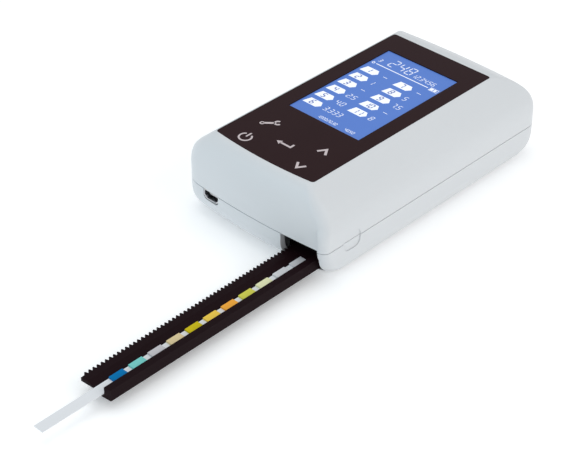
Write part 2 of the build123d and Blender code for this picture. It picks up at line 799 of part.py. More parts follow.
save(make_optical_block(), "optical_block")
save(rod(strip_center_x, head_y, lens_seat_z, lens_seat_z + lens_thick, lens_diameter), "lens")
lamp = Pos(0, 0, led_reach + led_length / 2) * Cylinder(led_diameter / 2, led_length)
lamp = fillet(lamp.edges().group_by(Axis.Z)[0], led_diameter / 2 - 0.1)
save(lamp_axis * lamp, "lamp")
save(block(strip_center_x - sensor_chip_side / 2, strip_center_x + sensor_chip_side / 2,
           head_y - sensor_chip_side / 2, head_y + sensor_chip_side / 2,
           head_top_z - sensor_chip_height, head_top_z), "light_sensor")
optical_board = block(head_left, head_right, in_y(head_front), in_y(head_back),
                      head_top_z, head_top_z + optic_board_thick)
lamp_slot = block(strip_center_x - led_diameter / 2, strip_center_x + led_diameter / 2,
                  head_y + lens_diameter, in_y(head_back) + 1, 0, top_z)
save(optical_board - lamp_slot, "optical_board")


# ---------------------------------------------------------------- tray guide and its sensor
def make_tray_guide():
    """A long channel on the case floor: a thin floor, two walls and the lips over the tray."""
    inner_left = guide_left + guide_wall
    inner_right = guide_right - guide_wall
    front, back = in_y(guide_front), in_y(guide_back)
    right_lip_z = rail_top_z + slide_gap
    left_lip_z = plate_top_z + slide_gap
    left_front = in_y(left_wall_front)
    guide = block(guide_left, guide_right, front, back, guide_floor_z, floor_z)
    guide += block(inner_right, guide_right, front, back, floor_z, right_lip_z + guide_wall)
    guide += block(inner_right - guide_lip, guide_right, front, back, right_lip_z,
                   right_lip_z + guide_wall)
    guide += block(guide_left, inner_left, left_front, back, floor_z, left_lip_z + guide_wall)
    guide += block(guide_left, inner_left + guide_lip, left_front, back, left_lip_z,
                   left_lip_z + guide_wall)
    guide += block(guide_left, inner_left, front, in_y(post_end), floor_z, post_top_z)
    guide += block(guide_left, guide_right, back - guide_wall, back, floor_z,
                   sensor_bottom_z + sensor_height)
    nose = Cylinder((sensor_nose + screw_pilot) / 2, 4 * guide_wall, rotation=(90, 0, 0))
    return guide - Pos(sensor_x, back, sensor_nose_z) * nose


sensor_x = (guide_left + guide_right) / 2
sensor_nose_z = (plate_bottom_z + plate_top_z) / 2 + 0.4
save(make_tray_guide(), "tray_guide")
nose_front = y_front + tray_length + sensor_nose_gap
nose_length = in_y(guide_back) - nose_front
nose_place = Pos(sensor_x, nose_front + nose_length / 2, sensor_nose_z)
home_sensor = block(sensor_x - sensor_width / 2, sensor_x + sensor_width / 2, in_y(guide_back),
                    in_y(guide_back) + sensor_depth, sensor_bottom_z, sensor_bottom_z + sensor_height)
home_sensor += nose_place * Cylinder(sensor_nose / 2, nose_length, rotation=(90, 0, 0))
save(home_sensor, "home_sensor")


# ---------------------------------------------------------------- tray with its rack
def rack_edge(y0, y1):
    """Points of the toothed left edge between two ends, one tooth standing at the gear axis."""
    half = (pitch / 2 - backlash) / 2
    lean = tan(radians(pressure_angle))
    tip_x = pitch_line_x - gear_addendum
    root_x = pitch_line_x + gear_dedendum
    tip_half = half - gear_addendum * lean
    root_half = half + gear_dedendum * lean
    first = int((y0 - axle_y) / pitch) + 1
    last = int((y1 - axle_y) / pitch + 100) - 100
    points = []
    for tooth in range(first, last):
        y = axle_y + tooth * pitch
        points += [(root_x, y - root_half), (tip_x, y - tip_half)]
        points += [(tip_x, y + tip_half), (root_x, y + root_half)]
    return [(root_x, y0)] + points + [(root_x, y1)]


def make_strip_tray():
    """The flat tray: rack on the left, sloping into the strip groove, raised rail on the right."""
    front = y_front - tray_travel
    back = front + tray_length
    edge = rack_edge(front, back)
    plan = make_face(Polyline(*edge, (rail_right, back), (rail_right, front), close=True))
    tray = extrude(Pos(0, 0, plate_bottom_z) * plan, plate_top_z - plate_bottom_z)
    tray += block(keel_left, rail_right, front, back, keel_bottom_z, plate_bottom_z)
    tray += block(groove_right, rail_right, front, back, plate_bottom_z, rail_top_z)
    slope_left = pitch_line_x + gear_dedendum + rack_flat
    groove_back = strip_far_y + strip_stop_gap
    slope = [(slope_left, plate_top_z), (groove_left, strip_top_z), (groove_left, groove_floor_z),
             (groove_right, groove_floor_z), (groove_right, plate_top_z)]
    trough = make_face(Polyline(*slope, close=True))
    tray -= extrude(Plane.XZ.offset(-groove_back) * trough, 2 * tray_length)
    return tray & extrude(Pos(0, front + front_radius) * Circle(front_radius), top_z)


save(make_strip_tray(), "strip_tray")


# ---------------------------------------------------------------- test strip and its pads
strip = block(strip_left, strip_right, strip_near_y, strip_far_y, strip_top_z - strip_thick, strip_top_z)
save(strip, "test_strip")
for number in range(1, pad_count + 1):
    pad_far_y = strip_far_y - pad_end_gap - (pad_count - number) * pad_pitch
    pad = block(strip_left, strip_right, pad_far_y - pad_length, pad_far_y, strip_top_z, pad_top_z)
    save(pad, f"pad_{number:02d}")
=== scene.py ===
# %% [markdown]
# # A pocket strip analyzer, dressed for its portrait
#
# The object is a hand-sized reader for reagent strips. A motor and a rack push a black
# tray out of the front, a strip with eleven pads lies in it, and the result shows on a
# blue display under a dark film. The CAD model gives every size and every moving part.
# This script adds what CAD leaves plain: soft moulded shells, finishes, the lit display
# and the signs over the keys.

# %% Tools and the frame
from math import cos, hypot, pi, radians, sin, sqrt

import bmesh
import bpy
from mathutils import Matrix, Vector


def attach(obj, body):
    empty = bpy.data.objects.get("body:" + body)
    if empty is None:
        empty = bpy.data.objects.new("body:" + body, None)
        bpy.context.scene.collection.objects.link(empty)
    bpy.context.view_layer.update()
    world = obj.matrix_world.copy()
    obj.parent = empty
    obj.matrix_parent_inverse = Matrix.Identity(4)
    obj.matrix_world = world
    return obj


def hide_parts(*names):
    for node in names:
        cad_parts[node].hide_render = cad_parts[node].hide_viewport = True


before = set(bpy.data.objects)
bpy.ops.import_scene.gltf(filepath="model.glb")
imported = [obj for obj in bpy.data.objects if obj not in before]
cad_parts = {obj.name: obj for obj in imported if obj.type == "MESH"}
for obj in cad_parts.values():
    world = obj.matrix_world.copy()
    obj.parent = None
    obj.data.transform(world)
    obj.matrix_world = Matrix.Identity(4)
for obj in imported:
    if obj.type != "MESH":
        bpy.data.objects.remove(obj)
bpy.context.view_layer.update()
MM = 0.001

# %% [markdown]
# ## The camera
#
# A product photograph of a small object is usually taken from a little way off with a
# long lens, so parallel edges stay nearly parallel. The place and the lens here were
# solved from the edges of the case and of the strip, and the camera looks down at 36
# degrees from the right front corner.

# %% Camera
AZIMUTH, ELEVATION = radians(44.03), radians(36.0)
forward = Vector((-sin(AZIMUTH) * cos(ELEVATION), cos(AZIMUTH) * cos(ELEVATION), -sin(ELEVATION)))
lens = bpy.data.cameras.new("portrait")
lens.lens, lens.sensor_width = 104.66, 36.0
camera = bpy.data.objects.new("portrait", lens)
camera.location = (0.3063, -0.3043, 0.3198)
camera.rotation_mode = "QUATERNION"
camera.rotation_quaternion = forward.to_track_quat("-Z", "Y")
bpy.context.scene.collection.objects.link(camera)
bpy.context.scene.camera = camera

# %% [markdown]
# ## Writing materials as sums
#
# Shader nodes are easier to read as arithmetic. `Wire` stands for one output of a node:
# adding or multiplying two of them adds a Math node. `Finish` is a material with one
# Principled shader, and its `node` method makes any other node.

# %% Shader arithmetic
class Wire:
    """One output of a node, with Python's operators written as Math nodes."""

    def __init__(self, finish, socket):
        self.finish, self.socket = finish, socket

    def math(self, operation, a, b):
        return self.finish.node("ShaderNodeMath", {"operation": operation}, {0: a, 1: b})

    def __add__(self, other):
        return self.math("ADD", self, other)

    def __mul__(self, other):
        return self.math("MULTIPLY", self, other)

    __radd__, __rmul__ = __add__, __mul__


class Finish:
    """A material with one Principled shader. Plain values go straight to its sockets."""

    def __init__(self, name, color, roughness, **sockets):
        self.material = bpy.data.materials.new(name)
        self.material.use_nodes = True
        self.tree = self.material.node_tree
        self.shader = self.tree.nodes["Principled BSDF"]
        self.material.diffuse_color = (*color, 1)
        self.feed("Base Color", (*color, 1))
        self.feed("Roughness", roughness)
        for socket, value in sockets.items():
            self.feed(socket.replace("_", " "), value)

    def feed(self, socket, value):
        """Give the shader's socket a value or a wire."""
        self.join(self.shader.inputs[socket], value)

    def join(self, socket, value):
        if isinstance(value, Wire):
            self.tree.links.new(value.socket, socket)
        else:
            socket.default_value = value

    def node(self, kind, settings=None, inputs=None, out=0):
        """Any node: its settings first, then the values or wires of its sockets."""
        made = self.tree.nodes.new(kind)
        for key, value in (settings or {}).items():
            setattr(made, key, value)
        for key, value in (inputs or {}).items():
            self.join(made.inputs[key], value)
        return Wire(self, made.outputs[out])

    def noise(self, scale, detail=3.0, stretch=(1, 1, 1), roughness=0.5):
        """Noise in the piece's own metres, so it rides along; stretch squeezes it along an axis."""
        place = self.node("ShaderNodeTexCoord", out="Object")
        place = self.node("ShaderNodeMapping", None, {0: place, "Scale": stretch})
        sockets = {"Vector": place, "Scale": scale, "Detail": detail, "Roughness": roughness}
        return self.node("ShaderNodeTexNoise", None, sockets)

    def mix(self, factor, first, second):
        """A colour between two colours."""
        sockets = {0: factor, 6: first, 7: second}
        return self.node("ShaderNodeMix", {"data_type": "RGBA"}, sockets, out=2)

    def over(self, wire, edge):
        """1 where the wire is over the edge, else 0."""
        return self.node("ShaderNodeMath", {"operation": "GREATER_THAN"}, {0: wire, 1: edge})

    def bump(self, height, strength, distance):
        sockets = {"Height": height, "Strength": strength, "Distance": distance}
        self.feed("Normal", self.node("ShaderNodeBump", None, sockets))


print("material helpers ready")

# %% [markdown]
# ## The finishes
#
# Each real surface has something that keeps it from looking like one flat colour: the
# fine spark texture that a steel mould leaves on plastic, the streaks of polished film,
# the fibres of a paper pad. All of it is small here, because the whole case is only
# eleven centimetres long.

# %% Moulded plastics
def moulded(name, color, roughness, grain=2600.0, depth=0.12, cloud=0.03, **sockets):
    """Moulded plastic: a fine texture from the mould and a faint unevenness of gloss."""
    finish = Finish(name, color, roughness, **sockets)
    drift = finish.noise(28.0, 2.0)
    darker = tuple(c * (1 - cloud) for c in color)
    finish.feed("Base Color", finish.mix(drift, (*darker, 1), (*color, 1)))
    speck = finish.noise(grain, 2.0)
    finish.feed("Roughness", roughness - 0.04 + drift * 0.05 + speck * 0.04)
    finish.bump(speck, depth, 0.00008)
    return finish.material


casing = moulded("pale_casing", (0.66, 0.675, 0.69), 0.34, depth=0.1, Specular_IOR_Level=0.35)
black_plastic = moulded("black_plastic", (0.0140, 0.0054, 0.0072), 0.5, 1900.0, 0.2, 0.3,
                        Specular_IOR_Level=0.04)
inner_black = moulded("inner_black", (0.008, 0.005, 0.006), 0.6, 1500.0, 0.2, 0.2,
                      Specular_IOR_Level=0.05)
acetal = moulded("white_acetal", (0.78, 0.78, 0.74), 0.35)
rubber = moulded("pale_rubber", (0.55, 0.58, 0.60), 0.75, 1300.0, 0.3, 0.1)
key_plastic = moulded("key_plastic", (0.30, 0.30, 0.31), 0.5)

# %% Metals and boards
def brushed(name, color, roughness, stretch):
    """Drawn or turned metal: thin streaks along one way."""
    finish = Finish(name, color, roughness, Metallic=1.0)
    streak = finish.noise(900.0, 4.0, stretch)
    finish.feed("Roughness", roughness - 0.08 + streak * 0.16)
    finish.feed("Base Color", finish.mix(streak, (*[c * 0.85 for c in color], 1), (*color, 1)))
    finish.bump(streak, 0.08, 0.00005)
    return finish.material


def circuit_board(name):
    """Green lacquer over copper: tracks show as slightly lighter bands."""
    finish = Finish(name, (0.01, 0.09, 0.035), 0.35, Coat_Weight=0.4)
    place = finish.node("ShaderNodeTexCoord", out="Object")
    sockets = {"Vector": place, "Scale": 260.0, "Distortion": 2.5, "Detail": 1.0}
    band = finish.node("ShaderNodeTexWave", {"bands_direction": "DIAGONAL"}, sockets, out=1)
    track = finish.over(band, 0.62)
    finish.feed("Base Color", finish.mix(track, (0.008, 0.07, 0.03, 1), (0.02, 0.17, 0.06, 1)))
    finish.bump(track, 0.3, 0.00003)
    return finish.material


steel = brushed("bright_steel", (0.62, 0.62, 0.64), 0.3, (1, 1, 14))
brass = brushed("turned_brass", (0.72, 0.50, 0.20), 0.28, (1, 1, 20))
board_green = circuit_board("circuit_board")
print("plastics, metals and boards made")

# %% [markdown]
# ## The film and the display
#
# The film is a clear sheet printed dark from behind, and the photograph shows almost no
# reflection in it, so it gets very little gloss. The display is lit from behind: it emits
# a little blue light of its own, not quite even, and a very fine grid of cells shows in it
# close up.

# %% Film, display and inks
def printed_film(name):
    finish = Finish(name, (0.0195, 0.0066, 0.0075), 0.3, Specular_IOR_Level=0.07)
    smear = finish.noise(60.0, 4.0, (1, 0.4, 1))
    dark, light = (0.0200, 0.0064, 0.0074, 1), (0.0250, 0.0084, 0.0096, 1)
    finish.feed("Base Color", finish.mix(smear, dark, light))
    finish.feed("Roughness", 0.24 + smear * 0.12)
    return finish.material


def lit_display(name):
    finish = Finish(name, (0.06, 0.12, 0.40), 0.3, Specular_IOR_Level=0.15)
    place = finish.node("ShaderNodeTexCoord", out="Object")
    cell = finish.node("ShaderNodeTexChecker", None, {"Vector": place, "Scale": 2500.0}, out=1)
    glow = finish.noise(22.0, 1.0)
    blue = finish.mix(glow, (0.051, 0.112, 0.333, 1), (0.061, 0.127, 0.358, 1))
    blue = finish.mix(cell * 0.1, blue, (0.04, 0.09, 0.30, 1))
    finish.feed("Base Color", blue)
    finish.feed("Emission Color", blue)
    finish.feed("Emission Strength", 0.81)
    return finish.material


def ink(name, color, glow=0.0):
    """A printed or lit sign, with the slight mottling of ink on a smooth sheet."""
    finish = Finish(name, color, 0.4)
    mottle = finish.noise(1800.0, 2.0)
    shade = finish.mix(mottle, (*[c * 0.93 for c in color], 1), (*color, 1))
    finish.feed("Base Color", shade)
    if glow:
        finish.feed("Emission Color", shade)
        finish.feed("Emission Strength", glow)
    return finish.material


film_finish = printed_film("printed_film")
display_blue = lit_display("lit_display")
display_white = ink("display_white", (0.80, 0.83, 0.90), 0.35)
display_deep = ink("display_deep_blue", (0.05, 0.10, 0.38), 0.1)
sign_grey = ink("sign_grey", (0.60, 0.51, 0.52))
print("film, display and inks made")

# %% [markdown]
# ## Strip and pads
#
# The strip is white plastic, thin and a little glossy. The pads are blotting paper that
# holds a dried reagent: matt, fibrous, and never quite even in colour, so each pad gets
# two shades of its own with noise between them.

# %% Strip finishes
def paper_pad(name, color):
    finish = Finish(name, color, 0.85, Specular_IOR_Level=0.03)
    soak = finish.noise(420.0, 3.0)
    fibre = finish.noise(5200.0, 2.0, (1, 0.35, 1))
    light = tuple(min(1.0, c * 1.08 + 0.01) for c in color)
    dark = tuple(c * 0.86 for c in color)
    finish.feed("Base Color", finish.mix(soak * 0.6 + fibre * 0.4, (*dark, 1), (*light, 1)))
    finish.feed("Roughness", 0.78 + fibre * 0.15)
    finish.bump(fibre, 0.4, 0.00006)
    return finish.material


PAD_COLORS = {
    "deep_blue": (0.0, 0.17, 0.43), "teal": (0.20, 0.62, 0.58), "rose_white": (0.56, 0.54, 0.56),
    "tan": (0.74, 0.59, 0.33), "mustard": (0.63, 0.50, 0.01), "straw": (0.88, 0.59, 0.08),
    "orange": (0.92, 0.40, 0.05), "green_yellow": (0.66, 0.63, 0.09), "cream": (0.80, 0.80, 0.49),
    "chalk": (0.68, 0.68, 0.70), "white": (0.68, 0.68, 0.70),
}
strip_white = moulded("strip_white", (0.76, 0.77, 0.79), 0.35, 1200.0, 0.05, 0.02,
                      Specular_IOR_Level=0.3)
pad_finishes = [paper_pad(f"pad_{name}", color) for name, color in PAD_COLORS.items()]
print("pad finishes:", len(pad_finishes))

# %% Finishes for the pieces that keep their CAD shape
def dress(material, *nodes):
    """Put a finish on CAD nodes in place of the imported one."""
    for name in nodes:
        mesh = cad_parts[name].data
        mesh.materials.clear()
        mesh.materials.append(material)


def plain(name, color, roughness, **sockets):
    return moulded(name, color, roughness, 1400.0, 0.1, 0.08, **sockets)


battery_wrap = plain("battery_wrap", (0.02, 0.05, 0.16), 0.3, Coat_Weight=0.4)
chip_black = plain("chip_black", (0.02, 0.02, 0.022), 0.5)
clear_lens = plain("clear_lens", (0.75, 0.82, 0.85), 0.08, Transmission_Weight=0.8)
lamp_clear = plain("lamp_clear", (0.85, 0.83, 0.72), 0.15, Transmission_Weight=0.5)

dress(film_finish, "front_film")
dress(display_blue, "display_glass", "display_backlight")
dress(black_plastic, "strip_tray")
dress(inner_black, "tray_guide", "optical_block", "buzzer")
dress(acetal, "compound_gear")
dress(brass, "motor_pinion")
dress(steel, "motor_body", "motor_shaft", "gear_axle", "drive_plate", "usb_socket", "key_switches",
      "board_screws", "power_board_screws", "drive_screws", "motor_screws", "case_screws")
dress(board_green, "main_board", "power_board", "optical_board")
dress(chip_black, "board_chips", "light_sensor", "home_sensor")
dress(battery_wrap, "battery_pack")
dress(clear_lens, "lens")
dress(lamp_clear, "lamp")
dress(rubber, "foot_front_left", "foot_front_right", "foot_back_left", "foot_back_right")
dress(key_plastic, "key_setup", "key_power", "key_enter", "key_up", "key_down")
dress(strip_white, "test_strip")
for number, finish in enumerate(pad_finishes, 1):
    dress(finish, f"pad_{number:02d}")
print("CAD pieces dressed")

# %% [markdown]
# ## The shape of the case
#
# The shells are two halves of one soft form: a bowed front and back, upright walls,
# sloping shoulders and a flat top. Such a form is a loft: a closed outline is drawn at
# each height and the outlines are joined. Three small functions say how far the sides,
# the front and the back have come in at a height, and the outline follows from them.

# %% Sizes of the case, millimetres
HALF, TOP = 32.3, 32.1
FRONT, BACK = -3.575, 108.925
FRONT_RISE, BACK_RISE = 2.0, 1.5
FRONT_BOW = (HALF ** 2 + FRONT_RISE ** 2) / (2 * FRONT_RISE)
BACK_BOW = (HALF ** 2 + BACK_RISE ** 2) / (2 * BACK_RISE)
SIDE_CURVE = 14.51
NOSE_PROUD, NOSE_START, NOSE_END = 0.9, 28.6, 29.4


def quarter(depth, height, rise):
    """How far an elliptical rounding has come in, rise above where it starts."""
    share = min(1.0, max(0.0, rise / height))
    return depth * (1 - sqrt(1 - share * share))


def side_in(z):
    """How far the side wall stands in at this height."""
    def raw(h):
        if h < 7.0:
            return quarter(3.0, 6.0, 7.0 - h)
        if h < 25.7:
            reach = max(0.0, h - 16.8)
            return SIDE_CURVE - sqrt(SIDE_CURVE ** 2 - reach ** 2)
        return 3.05 + (h - 25.7) * 7.35 / 6.4
    if z > TOP - 0.245:
        return 10.774 - sqrt(max(0.0, 1 - (1 - (TOP - z)) ** 2))
    soft = 1.6 * smooth(21.0, 23.0, z) * (1 - smooth(28.5, 30.4, z))
    return (raw(z - soft) + 2 * raw(z) + raw(z + soft)) / 4


def front_in(z):
    return quarter(8.0, 8.0, 9.0 - z) + quarter(5.6, 14.0, z - 18.1)


def back_in(z):
    return quarter(8.0, 8.0, 9.0 - z) + quarter(19.0, 20.0, z - 12.1)


def smooth(a, b, value):
    """0 before a, 1 after b, and an even turn between."""
    t = min(1.0, max(0.0, (value - a) / (b - a)))
    return t * t * (3 - 2 * t)


print("film edge at", round(HALF - side_in(TOP), 2), "mm from the middle")

# %% Outline of the case at one height
FRONT_STEPS = [i / 44 * 0.965 for i in range(44)] + [0.965 + i / 12 * 0.035 for i in range(13)]


def corner(a, b, toward_a, toward_b, reach, steps=14):
    """Points of a soft corner from a to b, leaving a and reaching b along the given ways."""
    made = []
    k = 0.5523 * reach
    for i in range(1, steps):
        t = i / steps
        w = ((1 - t) ** 3, 3 * t * (1 - t) ** 2, 3 * t * t * (1 - t), t ** 3)
        handles = (a, (a[0] + toward_a[0] * k, a[1] + toward_a[1] * k),
                   (b[0] - toward_b[0] * k, b[1] - toward_b[1] * k), b)
        made.append(tuple(sum(w[j] * handles[j][axis] for j in range(4)) for axis in (0, 1)))
    return made


def outline(z, inset=0.0):
    """The case's outline at height z, moved in by inset, anticlockwise from above."""
    half = HALF - side_in(z) - inset
    high = smooth(16.0, 31.0, z)
    soft_left = 7.5 - 3.5 * high - min(inset, 2.5)
    soft_right = 3.0 + 1.0 * smooth(18, 26, z) - 1.8 * smooth(26, 31, z) - min(inset, 2.0)
    soft_right = max(0.4, soft_right + 3.0 * (1 - smooth(1.0, 12.5, z)))
    soft_back = max(0.4, 7.0 - 5.6 * smooth(14.0, 27.0, z) - min(inset, 2.5))
    cheek = NOSE_PROUD * (1 - smooth(21.0, 26.5, z))

    def front(x):
        bow = FRONT_BOW - sqrt(FRONT_BOW ** 2 - x * x)
        return FRONT + bow + front_in(z) + inset - cheek * smooth(NOSE_START, NOSE_END, x + inset)

    def back(x):
        return BACK - (BACK_BOW - sqrt(BACK_BOW ** 2 - x * x)) - back_in(z) - inset

    x0, x1 = -(half - soft_left), half - soft_right
    points = [(x0 + (x1 - x0) * u, front(x0 + (x1 - x0) * u)) for u in FRONT_STEPS]
    slope = (1.0, x1 / FRONT_BOW)
    side = (half, points[-1][1] + soft_right)
    points += corner(points[-1], side, slope, (0, 1), soft_right)
    xb = half - soft_back
    last = (half, back(xb) - soft_back)
    points += [(half, side[1] + (last[1] - side[1]) * i / 10) for i in range(11)]
    points += corner(last, (xb, back(xb)), (0, 1), (-1.0, xb / BACK_BOW), soft_back)
    points += [(xb - 2 * xb * i / 32, back(xb - 2 * xb * i / 32)) for i in range(33)]
    left_back = (-half, back(xb) - soft_back)
    points += corner((-xb, back(xb)), left_back, (-1.0, -xb / BACK_BOW), (0, -1), soft_back)
    left_front = (-half, front(x0) + soft_left)
    points += [(-half, left_back[1] + (left_front[1] - left_back[1]) * i / 10) for i in range(11)]
    points += corner(left_front, (x0, front(x0)), (0, -1), (1.0, x0 / FRONT_BOW), soft_left)
    return points


print("points in an outline:", len(outline(20.0)))

# %% [markdown]
# ## Turning outlines into shells
#
# A shell is hollow, so its loft goes up the inside, over the rim and back down the
# outside. Openings such as the tray mouth are cut with Boolean modifiers, which are
# applied at once: the kept mesh is then the real surface. Edges sharper than 30 degrees
# stay crisp, everything else is shaded round.

# %% Mesh helpers
def new_piece(name, points, faces, material, body="case"):
    """A mesh object from points in millimetres."""
    mesh = bpy.data.meshes.new(name)
    mesh.from_pydata([(x * MM, y * MM, z * MM) for x, y, z in points], [], faces)
    work = bmesh.new()
    work.from_mesh(mesh)
    bmesh.ops.recalc_face_normals(work, faces=work.faces)
    work.to_mesh(mesh)
    work.free()
    piece = bpy.data.objects.new(name, mesh)
    bpy.context.scene.collection.objects.link(piece)
    mesh.materials.append(material)
    if body:
        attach(piece, body)
    return piece


def loft(name, rings, material, body="case"):
    """Join rings of equal length, one after the other, and close both ends."""
    count = len(rings[0])
    points = [p for ring in rings for p in ring]
    faces = [tuple(range(count)), tuple(range((len(rings) - 1) * count, len(rings) * count))]
    for r in range(len(rings) - 1):
        a, b = r * count, (r + 1) * count
        faces += [(a + i, a + (i + 1) % count, b + (i + 1) % count, b + i) for i in range(count)]
    return new_piece(name, points, faces, material, body)


def prism(name, flat, low, high, material=None, body=None):
    """A flat outline drawn up between two heights."""
    rings = [[(x, y, z) for x, y in flat] for z in (low, high)]
    return loft(name, rings, material, body)


def cut(piece, cutters):
    """Take the cutters out of a piece and keep the result as its mesh."""
    for cutter in cutters:
        change = piece.modifiers.new("cut", "BOOLEAN")
        change.object, change.operation, change.solver = cutter, "DIFFERENCE", "EXACT"
    bpy.context.view_layer.update()
    seen = piece.evaluated_get(bpy.context.evaluated_depsgraph_get())
    mesh = bpy.data.meshes.new_from_object(seen)
    piece.modifiers.clear()
    piece.data = mesh
    for cutter in cutters:
        bpy.data.objects.remove(cutter)
    return piece


CRISP_EDGE = radians(30)


def polish(piece):
    """Round shading with crisp edges, and flat faces kept flat."""
    piece.data.shade_smooth()
    piece.data.set_sharp_from_angle(angle=CRISP_EDGE)
    weigh = piece.modifiers.new("weigh", "WEIGHTED_NORMAL")
    weigh.keep_sharp, weigh.weight = True, 60
    return piece


def circle(x, y, radius, steps=48):
    return [(x + radius * cos(2 * pi * i / steps), y + radius * sin(2 * pi * i / steps))
            for i in range(steps)]


def rectangle(x0, x1, y0, y1):
    return [(x0, y0), (x1, y0), (x1, y1), (x0, y1)]


print("mesh helpers ready")

# %% Heights of the loft
LOW_RINGS = [9.0 - 8.0 * cos(pi / 2 * i / 12) for i in range(13)]
HIGH_RINGS = [14.0, 16.0, 17.4, 18.8, 20.0, 21.2, 22.3, 23.3, 24.1, 24.7, 25.2, 25.6, 26.0, 26.5,
              27.1, 27.8, 28.5, 29.2, 29.8, 30.35, 30.8, 31.15, 31.42, 31.63, 31.79, 31.9, 31.98,
              32.04, 32.08, TOP]


def ring(z, inset=0.0, at=None):
    return [(x, y, z if at is None else at) for x, y in outline(z, inset)]


USB = [(-21.8, 12.6), (-14.5, 12.6), (-14.5, 9.6), (-15.6, 8.5), (-20.7, 8.5), (-21.8, 9.6)]


def usb_cutter(name):
    rings = [[(x, y, z) for x, z in USB] for y in (FRONT - 6, FRONT + 5.6)]
    return loft(name, rings, None, None)


# The pry notch, a shallow round-ended pocket across the seam on the tray side
def notch_cutter(name):
    flat = []
    for cx, cz, start in ((1.5, 0.85, 0), (-1.5, 0.85, 90), (-1.5, -0.85, 180), (1.5, -0.85, 270)):
        for i in range(9):
            a = radians(start + i * 90 / 8)
            flat.append((FRONT + 13.8 + cx + 2.4 * cos(a), 12.0 + cz + 2.4 * sin(a)))
    rings = [[(x, y, z) for y, z in flat] for x in (HALF - 0.3, HALF + 3)]
    return loft(name, rings, None, None)


print("rings:", len(LOW_RINGS) + len(HIGH_RINGS))

# %% Bottom shell
MOUTH = (13.8, 29.3)
rings = [ring(z, 2.0) for z in (3.0, 3.3, 4.2, 6.0, 9.0, 11.0)]
rings += [ring(12.0, 2.3, 12.0), ring(12.0, 2.3, 13.5)]
rings += [ring(12.0, 1.1, 13.5), ring(12.0, 1.1, 12.2)]
rings += [ring(12.2, 0.1), ring(12.1), ring(10.5)] + [ring(z) for z in reversed(LOW_RINGS)]
casing_bottom = loft("casing_bottom", rings, casing)
feet = ((-23.5, 13.0), (5.0, 9.6), (-23.5, 95.0), (5.0, 95.0))
screws = ((-26.0, 35.2), (-26.0, 102.0), (8.5, 29.4), (8.5, 102.0))
cutters = [prism(f"c{i}", circle(x, FRONT + y, 4.1), 0, 1.4) for i, (x, y) in enumerate(feet)]
cutters += [prism(f"s{i}", circle(x, FRONT + y, 2.2), 0, 2.8) for i, (x, y) in enumerate(screws)]
cutters += [prism("mouth", rectangle(*MOUTH, FRONT - 6, FRONT + 11), 3.0, 15.0), usb_cutter("usb"),
            notch_cutter("notch")]
polish(cut(casing_bottom, cutters))
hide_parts("bottom_shell")
print("bottom shell faces:", len(casing_bottom.data.polygons))

# %% [markdown]
# ## The top shell and its film bed
#
# The film lies flush in a bed 0.4 mm deep with a hairline of 0.12 mm round it, which is
# why its edge reads as a crisp dark line. Under the film the shell has the display
# window and five round holes for the keys.

# %% Top shell
def film_bed(grow):
    """The film's outline: a rectangle with a bowed near edge and small round corners."""
    side, soft = 21.45 + grow, 1.0 + grow
    near, far = FRONT + 5.75 - grow, FRONT + 95.0 + grow
    bow = 1.35 / 21.45 ** 2
    flat = [(x, near + bow * x * x) for x in [(-side + soft) + (2 * side - 2 * soft) * i / 40
                                              for i in range(41)]]
    edge = near + bow * side ** 2
    for cx, cy, start in ((side - soft, edge + soft - 0.1, 270), (side - soft, far - soft, 0),
                          (soft - side, far - soft, 90), (soft - side, edge + soft - 0.1, 180)):
        for i in range(9):
            if start in (270, 180) and i == (0 if start == 270 else 8):
                continue
            a = radians(start + i * 90 / 8)
            flat.append((cx + soft * cos(a), cy + soft * sin(a)))
    return flat


KEYS = {"setup": (-12.0, 22.4), "power": (-12.0, 10.9), "enter": (0.5, 16.8),
        "up": (12.0, 22.2), "down": (12.0, 10.8)}
WINDOW = (-15.5, 15.5, FRONT + 34.6, FRONT + 85.0)
inside = [30.6, 30.0, 29.0, 27.5, 25.0, 22.0, 18.0, 14.6]
rings = [ring(z, 2.0, z - 0.5) for z in inside] + [ring(13.6, 2.0)]
rings += [ring(12.5, 1.0, 13.6), ring(12.5, 1.0, 12.4), ring(12.4, 0.1), ring(12.5)]
casing_top = loft("casing_top", rings + [ring(z) for z in HIGH_RINGS], casing)
cutters = [prism("bed", film_bed(0.12), 31.7, 34.0), usb_cutter("usb"), notch_cutter("notch"),
           prism("window", rectangle(-16.7, 16.7, WINDOW[2] - 1.2, WINDOW[3] + 1.2), 28.0, 32.0)]
cutters += [prism(f"k_{k}", circle(x, FRONT + y, 4.2), 28.0, 32.0) for k, (x, y) in KEYS.items()]
polish(cut(casing_top, cutters))
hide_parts("top_shell")
print("top shell faces:", len(casing_top.data.polygons))

# %% [markdown]
# ## Signs over the keys
#
# Five signs are printed on the film: a spanner for settings, the power circle, a bent
# arrow for enter, and two chevrons. Each is drawn as strokes, and every stroke is a thin
# plate laid on the film, three hundredths of a millimetre high, so the exported mesh
# keeps them as shape.

# %% Strokes
def stroke(points, width):
    """The outline of a line of even width through the points, with square mitred turns."""
    count = len(points)
    left, right = [], []
    for i, (x, y) in enumerate(points):
        before = points[i - 1] if i else None
        after = points[i + 1] if i < count - 1 else None
        ways = []
        for a, b in ((before, (x, y)), ((x, y), after)):
            if a is not None and b is not None:
                size = hypot(b[0] - a[0], b[1] - a[1]) or 1.0
                ways.append(((b[0] - a[0]) / size, (b[1] - a[1]) / size))
        way = (sum(w[0] for w in ways), sum(w[1] for w in ways))
        size = hypot(*way) or 1.0
        way = (way[0] / size, way[1] / size)
        stretch = 1 / max(0.35, abs(way[0] * ways[0][0] + way[1] * ways[0][1]))
        nx, ny = -way[1] * width / 2 * stretch, way[0] * width / 2 * stretch
        left.append((x + nx, y + ny))
        right.append((x - nx, y - ny))
    return left, right


